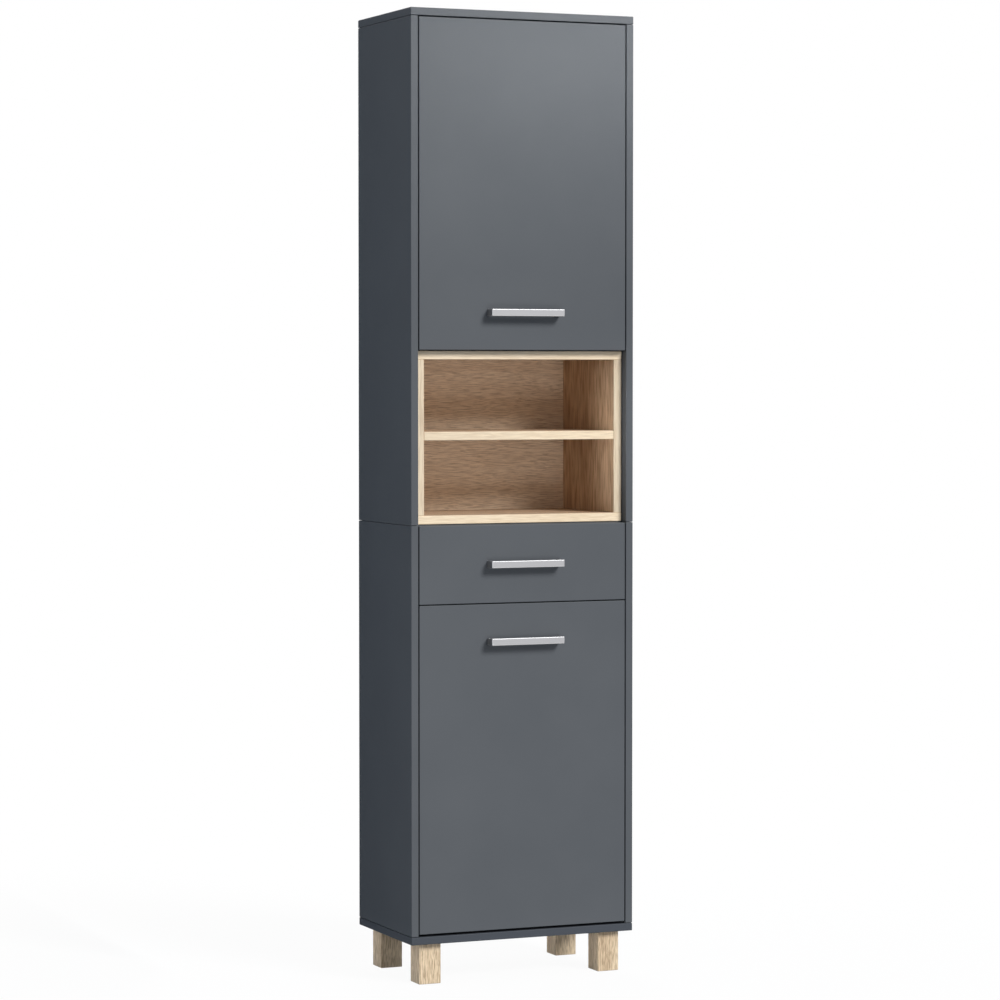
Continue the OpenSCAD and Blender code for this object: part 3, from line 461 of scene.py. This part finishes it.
def hardboard_finish(name, middle, axis):
    """Grey on the low side of middle along the axis, brown fibre on the high side."""
    finish = Finish(name, Specular_IOR_Level=0.25)
    at = finish.place()
    fibre = finish.noise(at, scale=420, detail=5, roughness=0.75, distortion=1.5)
    depth = finish.add("ShaderNodeSeparateXYZ", None, {0: at}, output=axis)
    blur = 0.2 * mm
    behind = depth.band(middle - blur, middle + blur)
    brown = finish.mix(fibre.band(0.3, 0.7), rgb(0.19, 0.11, 0.06), rgb(0.31, 0.19, 0.11))
    grey = finish.mix(fibre, rgb(0.115, 0.130, 0.145), rgb(0.130, 0.145, 0.160))
    return finish.set(
        Base_Color=finish.mix(behind, grey, brown),
        Roughness=0.5 + fibre * 0.3,
        Normal=finish.bump(fibre, 0.05 * mm, 0.4),
    )


def foil_finish():
    """Grey foil with a very fine grain."""
    finish = Finish("drawer_foil", Specular_IOR_Level=0.35)
    grain = finish.noise(finish.place(), scale=800, detail=2)
    return finish.set(
        Base_Color=finish.mix(grain, rgb(0.150, 0.165, 0.180), rgb(0.170, 0.185, 0.200)),
        Roughness=0.42 + grain * 0.12,
        Normal=finish.bump(grain, 0.03 * mm, 0.5),
    )


def beech_finish():
    """Beech with its short flecks."""
    finish = Finish("beech_wood", Specular_IOR_Level=0.25)
    fleck = finish.noise(finish.place(), scale=900, detail=2)
    return finish.set(
        Base_Color=finish.mix(fleck, rgb(0.52, 0.33, 0.18), rgb(0.64, 0.43, 0.25)),
        Roughness=0.6 + fleck * 0.15,
    )


nylon, foil, beech = nylon_finish(), foil_finish(), beech_finish()
back_low, back_high = corners("upper_back_panel")
base_high = corners("drawer_bottom")[1]
back_finish = hardboard_finish("back_hardboard", (back_low[deep] + back_high[deep]) / 2, "Y")
above_base = base_high[upright] + 1 * mm
base_finish = hardboard_finish("base_hardboard", above_base, "Z")
print("stuffs:", nylon.name, foil.name, beech.name, back_finish.name, base_finish.name)

# %% [markdown]
# ## From a grid of points to a mesh
# Every new surface here is a grid: points[i, j] is a place in space, i runs along the
# piece and j runs round it. The quads of such a grid follow from index sums alone. The
# two open ends are closed with one polygon each, and points that fall together are
# merged, so that the shell has no slits.

# %% Grid to mesh
same_point = 0.002 * mm


def grid_faces(rows, columns):
    """Quads between neighbouring rows of a grid whose columns close in a ring."""
    i, j = np.meshgrid(np.arange(rows - 1), np.arange(columns), indexing="ij")
    k = (j + 1) % columns
    quads = [i * columns + j, i * columns + k, (i + 1) * columns + k, (i + 1) * columns + j]
    return np.stack(quads, axis=-1).reshape(-1, 4)


def closed_tube(name, points):
    """A mesh from a grid of rings, with a polygon over the first and the last ring."""
    rows, columns = points.shape[:2]
    first = list(range(columns))[::-1]
    last = list(range((rows - 1) * columns, rows * columns))
    faces = grid_faces(rows, columns).tolist() + [first, last]
    mesh = bpy.data.meshes.new(name)
    mesh.from_pydata(points.reshape(-1, 3).tolist(), [], faces)
    return mesh


def merge_and_face_out(mesh):
    """Merges points that fall together and turns every face outwards."""
    shell = bmesh.new()
    shell.from_mesh(mesh)
    bmesh.ops.remove_doubles(shell, verts=shell.verts, dist=same_point)
    bmesh.ops.recalc_face_normals(shell, faces=shell.faces)
    shell.to_mesh(mesh)
    shell.free()


print("points closer than", round(same_point / mm, 3), "mm are merged")

# %% [markdown]
# ## From a mesh to a piece
# A mesh alone isn't a piece yet. It takes its finish, rides on the body of the part that
# it stands for and replaces its solid. It is shaded smooth, which would make flat faces
# look bulged near a round arris, so the large faces set the normals of the points that
# they share with small ones.

# %% Mesh to piece
def finish_piece(name, mesh, material, *parts):
    """Puts a mesh in the scene for those parts: its finish, the same body, smooth shading."""
    mesh.materials.clear()
    mesh.materials.append(material)
    mesh.shade_smooth()
    piece = bpy.data.objects.new(name, mesh)
    bpy.context.scene.collection.objects.link(piece)
    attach(piece, body_of[parts[0]])
    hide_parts(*parts)
    return piece


def even_shading(piece):
    """Lets the large flat faces set the normals, so that only the arrises look round."""
    shading = piece.modifiers.new("even shading", "WEIGHTED_NORMAL")
    shading.weight = 100
    shading.keep_sharp = True


print("bodies to ride on:", sorted(set(body_of.values())))

# %% [markdown]
# ## Boards without holes
# A plain board is a box whose twelve arrises are rounded. The edge banding on such
# furniture is scraped and buffed, which leaves a radius of a millimetre or two:
# too small to see, but it catches the thin line of light that parts a door from its
# case. The section is a rectangle with round corners. Towards each end it shrinks along a
# quarter circle, and all its points move by the same amount, because the centres of the
# corners stay where they are.

# %% Rounded slab
arc_steps = 4


def quarter_turns(steps):
    """Unit vectors round a circle, steps + 1 in each quarter, with its corner's signs."""
    quarter = np.arange(4)[:, None]
    angle = (quarter + np.linspace(0, 1, steps + 1)) * math.pi / 2
    directions = np.stack([np.cos(angle), np.sin(angle)], axis=-1)
    corner_signs = np.array([[1, 1], [-1, 1], [-1, -1], [1, -1]])
    signs = corner_signs[:, None] * np.ones((1, steps + 1, 1))
    return directions.reshape(-1, 2), signs.reshape(-1, 2)


def rounded_slab(low, high, radius):
    """Rings of a box with round arrises.

    With the corner centres c, the unit vectors u and s from 0 to 90 degrees, a ring of
    the low end is c + radius sin(s) u, at the height low + radius (1 - cos(s)). The high
    end mirrors it.
    """
    directions, signs = quarter_turns(arc_steps)
    middle = (low + high) / 2
    centres = middle[:2] + signs * ((high - low)[:2] / 2 - radius)
    s = np.linspace(0, math.pi / 2, arc_steps + 1)
    swell = np.concatenate([np.sin(s), np.sin(s)[::-1]]) * radius
    rise = radius * (1 - np.cos(s))
    height = np.concatenate([low[2] + rise, (high[2] - rise)[::-1]])
    ring = centres + swell[:, None, None] * directions
    heights = np.broadcast_to(height[:, None, None], ring.shape[:2] + (1,))
    return np.concatenate([ring, heights], axis=-1)


print("a ring of a slab has", 4 * (arc_steps + 1), "points")

# %% [markdown]
# ## Six plain boards
# The top panel, the front of the drawer and four boards of the niche are such slabs. Each
# part gives its own box, and a part with several boards in it gives a list of boxes.

# %% Plain boards
def add_slab(part, material, radius, boxes=None):
    """A rounded slab for each solid of a part, joined in one piece."""
    boxes = boxes or [corners(part)]
    meshes = [closed_tube(part, rounded_slab(*box, radius)) for box in boxes]
    shell = bmesh.new()
    for mesh in meshes:
        shell.from_mesh(mesh)
    shell.to_mesh(meshes[0])
    shell.free()
    merge_and_face_out(meshes[0])
    even_shading(finish_piece(part + "_slab", meshes[0], material, part))


banding = 1.4 * mm
for part in ("top_panel", "drawer_front"):
    add_slab(part, slate, banding)
for part in ("niche_left_board", "niche_right_board", "niche_shelf", "niche_back"):
    add_slab(part, oaks[part], banding)

# %% [markdown]
# ## Loose shelves, backs and the drawer's base
# The two shelves behind a door are one part of the CAD model with two solids. Their
# heights are read from the mesh: the distinct levels of its points are the faces of the
# shelves, in pairs. Backs and the drawer's base are sawn hardboard, so their arrises are
# sharper.

# %% Shelves and thin boards
def stacked_boxes(part):
    """Corner pairs of the flat boards of a part that lie one above the other."""
    mesh = frame["nodes"][part].data
    points = np.empty(len(mesh.vertices) * 3)
    mesh.vertices.foreach_get("co", points)
    levels = np.unique(np.round(points[2::3], 5)).reshape(-1, 2)
    low, high = corners(part)
    return [(np.array([*low[:2], a]), np.array([*high[:2], b])) for a, b in levels]


sawn = 0.3 * mm
for part in ("upper_shelves", "lower_shelves"):
    add_slab(part, slate, banding, stacked_boxes(part))
add_slab("upper_back_panel", back_finish, sawn)
add_slab("lower_back_panel", back_finish, sawn)
add_slab("drawer_bottom", base_finish, sawn)
add_slab("drawer_back", foil, banding)
undersides = [round(float(low[2] / mm)) for low, high in stacked_boxes("upper_shelves")]
print("undersides of the upper shelves at", undersides, "mm")

# %% [markdown]
# ## Boards with holes
# The side panels have rows of shelf pin holes and pockets for the cam locks, and the
# doors have pockets for the hinge cups. Making all that again as grids would repeat the
# CAD model. A merged copy of the part already has every hole, and only its outer arrises
# are too sharp. An edge is such an arris when both its ends lie on the same two faces of
# the part's box, which numpy tests for all edges at once. Those edges get a bevel weight,
# and a Bevel modifier rounds them. The copy also carries the normals of the CAD model,
# which no longer fit once its points are merged, so they are dropped first.

# %% Rounded copies
flat_angle = math.radians(0.5)
sharp_angle = math.radians(30)


def arrises(mesh, low, high):
    """1 for each edge whose two ends share two faces of the box, else 0."""
    points = np.empty(len(mesh.vertices) * 3)
    mesh.vertices.foreach_get("co", points)
    points = points.reshape(-1, 3)
    ends = np.empty(len(mesh.edges) * 2, dtype=np.int64)
    mesh.edges.foreach_get("vertices", ends)
    near = 0.01 * mm
    on_face = np.concatenate([abs(points - low) < near, abs(points - high) < near], axis=1)
    shared = on_face[ends[0::2]] & on_face[ends[1::2]]
    return (shared.sum(axis=1) >= 2).astype(np.float32)


def shorten(mesh, low, high, joints):
    """Draws the lowest and highest points of a mesh in, and returns the smaller box."""
    points = np.empty(len(mesh.vertices) * 3)
    mesh.vertices.foreach_get("co", points)
    levels = points[2::3]
    ends = low[2] + joints[0], high[2] - joints[1]
    points[2::3] = np.clip(levels, *ends)
    mesh.vertices.foreach_set("co", points)
    return np.array([*low[:2], ends[0]]), np.array([*high[:2], ends[1]])


def add_copy(part, material, radius, joints=(0, 0)):
    """A copy of a part with its faces joined up and its outer arrises rounded."""
    mesh = frame["nodes"][part].data.copy()
    mesh.attributes.remove(mesh.attributes["custom_normal"])
    shell = bmesh.new()
    shell.from_mesh(mesh)
    bmesh.ops.remove_doubles(shell, verts=shell.verts, dist=same_point)
    bmesh.ops.dissolve_limit(
        shell, angle_limit=flat_angle, verts=shell.verts, edges=shell.edges
    )
    shell.to_mesh(mesh)
    shell.free()
    box = shorten(mesh, *corners(part), joints)
    weights = mesh.attributes.new("bevel_weight_edge", "FLOAT", "EDGE")
    weights.data.foreach_set("value", arrises(mesh, *box))
    piece = finish_piece(part + "_banded", mesh, material, part)
    piece.data.set_sharp_from_angle(angle=sharp_angle)
    bevel = piece.modifiers.new("edge banding", "BEVEL")
    bevel.limit_method = "WEIGHT"
    bevel.width = radius
    bevel.segments = 3
    bevel.loop_slide = False
    bevel.harden_normals = True


print("faces within", round(math.degrees(flat_angle), 1), "degrees are joined")

# %% [markdown]
# ## The case, the doors and the sides of the drawer
# Where one board stands on another, the real joint shows as a thin dark line. The side
# panels are drawn in by less than a millimetre at such an end, which leaves that line.

# %% Boards of the case
joint = 0.7 * mm
for side in ("left", "right"):
    add_copy(f"upper_{side}_side", slate, banding, (0, joint))
    add_copy(f"lower_{side}_side", slate, banding, (joint, joint))
for part in ("lower_top_board", "middle_board", "upper_door", "lower_door"):
    add_copy(part, slate, banding)
# The bottom panel takes the slate with painted shade.
add_copy("bottom_panel", slate_painted_shade, banding)
for part in ("niche_bottom_board", "niche_top_board"):
    add_copy(part, oaks[part], banding)
for part in ("drawer_left_side", "drawer_right_side"):
    add_copy(part, foil, banding)

# %% [markdown]
# ## Legs
# A leg is a square oak post. A turned or tapered one would need a profile of its own, but
# a post is only a tall slab, so the function for plain boards makes it. Its arrises are
# eased with sandpaper, so they are rounder than those of a board, and the grain runs from
# floor to case.

# %% Legs
sanded = 1.5 * mm
for side in ("left", "right"):
    for end in ("front", "back"):
        leg = f"leg_{end}_{side}"
        add_slab(leg, oaks[leg], sanded)
low, high = corners("leg_front_left")
print("leg:", np.round((high - low) / mm), "mm")

# %% [markdown]
# ## Bow handles
# A handle is a flat bar in front with a leg at each end, cast in one piece. Seen from
# above it is the strip between an outer and an inner line, both with tight corners. A
# rounded section is carried along that strip: at each step it spans from the inner line
# to the outer one, so the bar keeps its thickness on the straights and fills the corner.

# %% Bow line and bar section
handle_leg = 7 * mm
bar_round = 1.2 * mm
polish_and_highlight_width = 0.4 * mm
outer_corner = 1.6 * mm
inner_corner = 0.8 * mm
corner_steps = 6


def bow_line(half, front, back, radius):
    """A line from the back at the left, round two corners, to the back at the right."""
    turn = np.linspace(0, math.pi / 2, corner_steps + 1)
    sideways = -half + radius * (1 - np.cos(turn))
    forwards = front + radius * (1 - np.sin(turn))
    left = np.stack([sideways, forwards], axis=-1)
    right = left[::-1] * (-1, 1)
    return np.concatenate([[[-half, back]], left, right, [[half, back]]])


def bar_section(half_thick, half_high, radius):
    """A rectangle with polished corners: thickness as shares, heights, and the highlight mask.

    A corner is a quarter circle, centre + radius (cos, sin). One more point on the flat
    before it and one after it, at the width of the polished band, end the polished line,
    which is painted as a highlight.
    """
    directions, signs = quarter_turns(arc_steps)
    turns = directions.reshape(4, arc_steps + 1, 2)
    centres = signs.reshape(turns.shape) * (half_thick - radius, half_high - radius)
    arcs = centres + radius * turns
    before = arcs[:, :1] + polish_and_highlight_width * turns[:, :1, ::-1] * (1, -1)
    after = arcs[:, -1:] + polish_and_highlight_width * turns[:, -1:, ::-1] * (-1, 1)
    outline = np.concatenate([before, arcs, after], axis=1).reshape(-1, 2)
    bright = np.ones((4, arc_steps + 3))
    bright[:, [0, -1]] = 0
    return outline[:, 0] / half_thick, outline[:, 1], bright.ravel()


print("a section of the bar has", 4 * (arc_steps + 3), "points")

# %% [markdown]
# ## Three handles
# The satin finish needs to know its way about on the bar. A map holds the distances along
# it and round it, for the brushed lines. An attribute is 1 on the polished edges and on
# the two bends, where the finish paints a highlight, and 0 on the brushed faces between
# them.

# %% Handles
def bow_handle(low, high):
    """Rings of a handle: middle + share (outer - inner) / 2, lifted by the height."""
    centre = (low + high) / 2
    half, back = (high - low)[0] / 2, high[1]
    outer = bow_line(half, low[1], back, outer_corner)
    inner = bow_line(half - handle_leg, low[1] + handle_leg, back, inner_corner)
    share, height, eased = bar_section(handle_leg / 2, (high - low)[2] / 2, bar_round)
    flat = (outer + inner)[:, None] / 2 + share[:, None] * (outer - inner)[:, None] / 2
    heights = np.broadcast_to(height[:, None], flat.shape[:2] + (1,))
    points = np.concatenate([flat, heights], axis=-1) + (centre[0], 0, centre[2])
    # The two bends get the painted highlight too.
    bend = np.sin(np.linspace(0, math.pi, corner_steps + 1))
    bends = np.concatenate([[0], bend, bend, [0]])
    return points, np.maximum(eased, bends[:, None] * np.maximum(share, 0))


def bar_map(mesh, points):
    """Writes each corner's distance along and round the bar, in metres."""
    rows, columns = points.shape[:2]
    steps = np.linalg.norm(np.diff(points.mean(axis=1), axis=0), axis=1)
    along = np.concatenate([[0], np.cumsum(steps)])
    edges = np.linalg.norm(points[1] - np.roll(points[1], 1, axis=0), axis=1)
    around = np.cumsum(edges)
    spots = np.stack(np.meshgrid(along, around, indexing="ij"), axis=-1).reshape(-1, 2)
    loops = np.empty(len(mesh.loops), dtype=np.int64)
    mesh.loops.foreach_get("vertex_index", loops)
    layer = mesh.uv_layers.new(name="bar")
    layer.data.foreach_set("uv", spots[loops].ravel())


def add_handle(part):
    """The handle of a part, with its map and its polished edges, marked for a painted
    highlight.
    """
    points, eased = bow_handle(*corners(part))
    mesh = closed_tube(part, points)
    bar_map(mesh, points)
    edge = mesh.attributes.new("eased", "FLOAT", "POINT")
    edge.data.foreach_set("value", eased.ravel())
    merge_and_face_out(mesh)
    piece = finish_piece(part + "_bow", mesh, satin, part)
    even_shading(piece)
    return piece


for part in ("upper_door_handle", "drawer_handle", "lower_door_handle"):
    print(add_handle(part).name, "made")

# %% [markdown]
# ## Fittings
# The small parts have the right shape already: locks, bolts, screws, pins, plates and
# runners. They only take their finishes, by the slot that the record gives them.

# %% Finishes of the fittings
fitting_finishes = {
    "plated_steel": zinc,
    "runner_steel": powder_coat,
    "nylon": nylon,
    "beech": beech,
}
dressed = 0
for part, solid in frame["nodes"].items():
    if not solid.hide_render:
        solid.data.materials.clear()
        solid.data.materials.append(fitting_finishes[slot_of[part]])
        dressed += 1
print("fittings dressed:", dressed)

# %% [markdown]
# ## Floor and white surroundings
# The product shot has no room around it: the ground fades to white. The floor is a disc
# that keeps some of its own shading near the cabinet, so that the shadow stays, and turns
# to plain white further out. The white is only what the camera and the reflections see. A
# floor that white would also throw light up at the legs and the niche, which the real one
# doesn't, so for soft light the ground is dark and the world is a dim, slightly cool grey.

# %% Floor and world
def white_rays(finish):
    """1 for rays that should see the white surroundings, 0 for soft light."""
    seen = finish.add("ShaderNodeLightPath", output="Is Camera Ray")
    mirrored = finish.add("ShaderNodeLightPath", output="Is Glossy Ray")
    through = finish.add("ShaderNodeLightPath", output="Is Transmission Ray")
    return seen.math("MAXIMUM", seen.math("MAXIMUM", seen, mirrored), through)


def floor_finish(near, far, share):
    """Diffuse white with a share of plain white, which is all there is from far on."""
    finish = Finish("floor")
    length = {"operation": "LENGTH"}
    distance = finish.add("ShaderNodeVectorMath", length, {0: finish.place()}, "Value")
    seen = white_rays(finish)
    white = seen * (share + distance.band(near, far) * (1 - share))
    ground = finish.mix(seen, rgb(0.16, 0.19, 0.24), rgb(0.95, 0.95, 0.95))
    matt = finish.add("ShaderNodeBsdfDiffuse", None, {"Color": ground})
    plain = finish.add("ShaderNodeEmission", None, {"Color": rgb(1, 1, 1)})
    out = finish.add("ShaderNodeMixShader", None, {0: white, 1: matt, 2: plain})
    finish.links.new(out.socket, finish.nodes["Material Output"].inputs["Surface"])
    return finish.block


def add_floor(radius, rings, spokes, material):
    """A disc on the ground: ring i of n lies at radius (i / n) squared."""
    distance = radius * np.linspace(0, 1, rings + 1)[1:, None] ** 2
    angle = np.linspace(0, 2 * math.pi, spokes, endpoint=False)
    level = np.zeros((rings, spokes))
    points = np.stack([distance * np.cos(angle), distance * np.sin(angle), level], axis=-1)
    faces = grid_faces(rings, spokes).tolist() + [list(range(spokes))]
    mesh = bpy.data.meshes.new("floor")
    mesh.from_pydata(points.reshape(-1, 3).tolist(), [], faces)
    mesh.materials.append(material)
    floor = bpy.data.objects.new("floor", mesh)
    bpy.context.scene.collection.objects.link(floor)
    return floor


def add_world(colour, strength):
    """Dim soft light of one colour, and plain white for what the camera and gloss see."""
    world = Finish("surroundings", kind="worlds")
    seen = white_rays(world)
    background = world.nodes["Background"]
    world.feed(background.inputs["Color"], world.mix(seen, colour, rgb(1, 1, 1)))
    world.feed(background.inputs["Strength"], strength + seen * (1 - strength))
    bpy.context.scene.world = world.block


paper = floor_finish(near=0.6, far=2.2, share=0.95)
floor = add_floor(radius=30, rings=24, spokes=96, material=paper)
add_world(colour=rgb(0.84, 0.92, 1.0), strength=0.33)
print("floor:", len(floor.data.polygons), "faces")

# %% [markdown]
# ## Light
# The key light stands in front, above and to the right: the handles cast their shadows
# down and to the left. It is a sun, because all three handles have the same shadow, and
# its angle sets how soft that shadow is. A strip lamp just in front of the top edge makes
# the upper door brighter towards the top. A low, wide one lifts the niche from below.
#
# The left side is bluish in the photograph, and a weak blue lamp gives it that tint. A
# narrow lamp just above the floor lights the left faces of the legs. Another narrow one
# shines past the left side panel into the niche, where the right board gets brighter
# towards its front edge. A last one shows the back in the views from behind.

# %% Lamps
def add_lamp(name, kind, place, aim, **settings):
    """A lamp at a place, aimed at another; a sun only takes the direction."""
    light = bpy.data.lights.new(name, kind)
    for setting, value in settings.items():
        setattr(light, setting, value)
    lamp = bpy.data.objects.new(name, light)
    lamp.visible_camera = False
    bpy.context.scene.collection.objects.link(lamp)
    way = np.array(aim) - np.array(place)
    lift = math.atan2(math.hypot(way[0], way[1]), -way[2])
    turn = math.atan2(way[1], way[0]) - math.pi / 2
    lamp.location = place
    lamp.rotation_euler = (lift, 0, turn)


add_lamp("key", "SUN", (2.1, -4.7, 4.4), (0, 0, 1.2), energy=2.62, angle=math.radians(20))
add_lamp(
    "top_light", "AREA", (0.33, -0.80, 1.97), (0.05, -0.14, 2.0),
    shape="RECTANGLE", size=0.75, size_y=0.12, energy=1.18, spread=math.radians(90),
)
add_lamp(
    "side_fill", "AREA", (-3.0, 0.2, 1.3), (-0.25, 0, 1.1),
    size=1.8, energy=8.5, color=(0.50, 0.72, 1.0),
)
add_lamp(
    "leg_light", "AREA", (-1.2, -0.35, 0.045), (0.0, 0.0, 0.045),
    shape="RECTANGLE", size=1.0, size_y=0.04, energy=0.098, spread=math.radians(8),
)
add_lamp(
    "niche_light", "AREA", (-1.6, -0.75, 1.135), (0.216, -0.115, 1.135),
    shape="RECTANGLE", size=0.06, size_y=0.26, energy=0.043, spread=math.radians(6.5),
)
add_lamp(
    "low_fill", "AREA", (-0.1, -2.6, 0.35), (0.0, -0.12, 1.1),
    shape="RECTANGLE", size=1.0, size_y=0.5, energy=9.5,
)
add_lamp("back_fill", "AREA", (0.9, 3.2, 2.6), (0, 0.16, 1.0), size=1.5, energy=60)
print("lamps:", len(bpy.data.lights))

# %% [markdown]
# ## Dark card and sheet
# The left side is much darker than the front. Darker paint would do that in this view,
# but would be wrong in any other light. A photographer stands a dark card beside the
# object, out of the picture, which keeps the white room away from that side: the card is
# close, so the side mirrors it and not the floor. A dark sheet on the floor does the same
# for the lowest part of the side. The sheet shows in gloss alone, since the floor under
# it stays white for the camera.

# %% Card and sheet
def add_dark_card(name, low, high, gloss_only=False):
    """A flat card between two opposite corners: low, low + a, high and low + b.

    The sides a and b are the steps from low to high along one axis each. The camera never
    sees the card, and with gloss_only neither do soft light and shadow.
    """
    steps = np.diag(np.subtract(high, low))
    side_a, side_b = steps[np.any(steps, axis=1)]
    points = [np.array(low), low + side_a, np.array(high), low + side_b]
    mesh = bpy.data.meshes.new(name)
    mesh.from_pydata(np.array(points).tolist(), [], [(0, 1, 2, 3)])
    finish = Finish(name, Specular_IOR_Level=0.0)
    mesh.materials.append(finish.set(Base_Color=rgb(0.22, 0.25, 0.28), Roughness=1.0))
    card = bpy.data.objects.new(name, mesh)
    bpy.context.scene.collection.objects.link(card)
    card.visible_camera = False
    card.visible_diffuse = not gloss_only
    card.visible_shadow = not gloss_only
    print(name, "from", low, "to", high)


add_dark_card("dark_card", (-0.62, 0.32, 0.06), (-0.62, 1.9, 2.4))
add_dark_card("dark_sheet", (-0.62, 0.0, 0.003), (-0.27, 1.9, 0.003), gloss_only=True)

# %% [markdown]
# ## How colours are shown
# Blender's usual view transform dulls bright colours to make room for glare. A product
# shot has no glare to keep, so the Standard one is set, which shows a colour as it is
# written and leaves the white floor white.

# %% View transform
bpy.context.scene.view_settings.view_transform = "Standard"
print("view transform:", bpy.context.scene.view_settings.view_transform)
